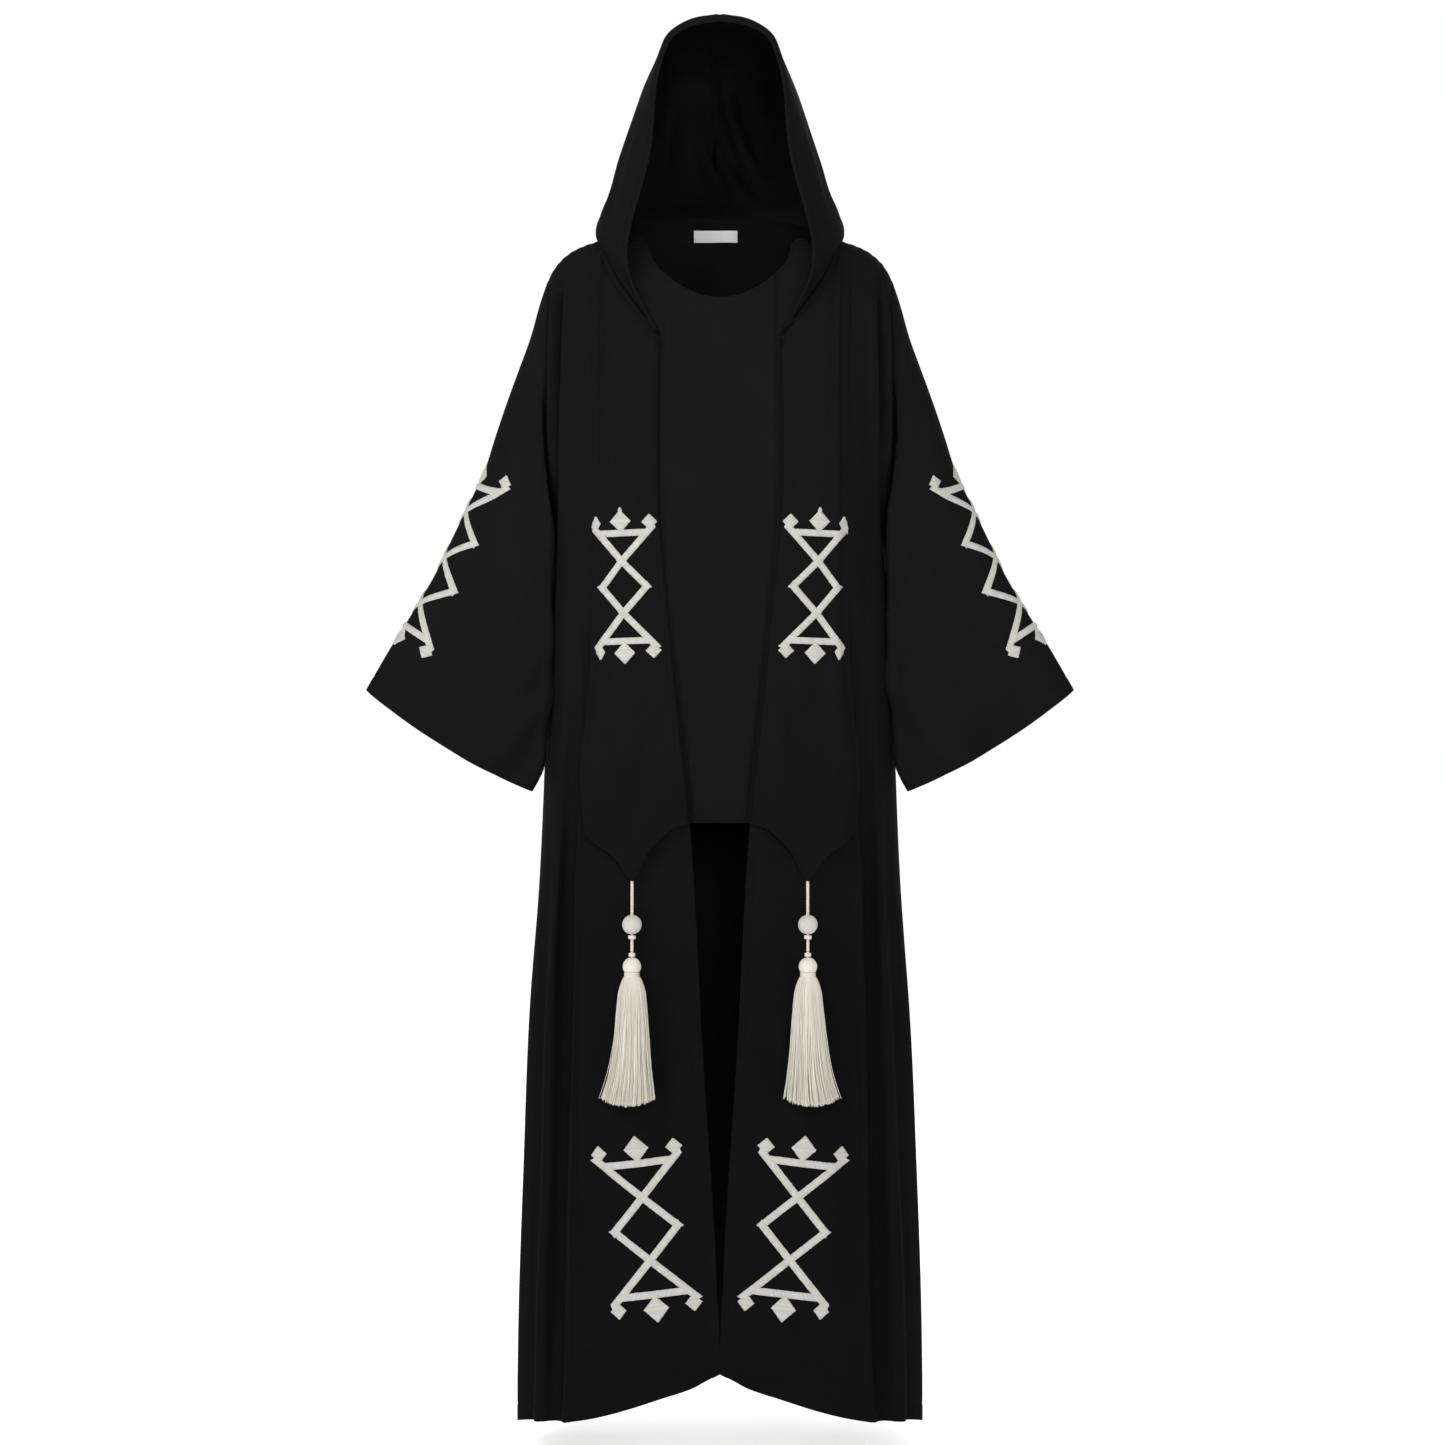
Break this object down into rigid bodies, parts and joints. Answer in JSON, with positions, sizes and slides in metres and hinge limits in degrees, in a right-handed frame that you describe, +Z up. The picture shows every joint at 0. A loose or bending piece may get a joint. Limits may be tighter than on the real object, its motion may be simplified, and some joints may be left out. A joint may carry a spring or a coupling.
{
  "type": "hooded open kaftan",
  "caption": "Hooded open-front kaftan standing as if worn, with wide sleeves, pointed overlay panels, geometric zigzag applique and bead-topped tassels.",
  "frame": {"origin": "centre of the neck opening on the shoulder plane, level with the lower edge of the hood at the shoulders", "axes": "+Z up from the hem to the hood, +X to the right as seen from the front, -Y out of the open front"},
  "size_m": [0.8496, 0.3081, 1.682],
  "materials": {
    "black_crepe": "matt woven crepe, smooth soft folds",
    "ivory_embroidery": "raised thread embroidery",
    "ivory_thread": "twisted silky thread",
    "white_satin": "woven satin tape, blank"
  },
  "bodies": {
    "root": {"front_left": "black_crepe", "front_right": "black_crepe", "back": "black_crepe", "sleeve_left": "black_crepe", "sleeve_right": "black_crepe", "hood_left": "black_crepe", "hood_right": "black_crepe", "stole_left": "black_crepe", "stole_right": "black_crepe", "inner_panel": "black_crepe", "neck_label": "white_satin", "motif_chest_left": "ivory_embroidery", "motif_chest_right": "ivory_embroidery", "motif_skirt_left": "ivory_embroidery", "motif_skirt_right": "ivory_embroidery", "motif_sleeve_left": "ivory_embroidery", "motif_sleeve_right": "ivory_embroidery", "tassel_left": "ivory_thread", "tassel_right": "ivory_thread", "bead_left": "ivory_thread", "bead_right": "ivory_thread"}
  },
  "joints": []
}
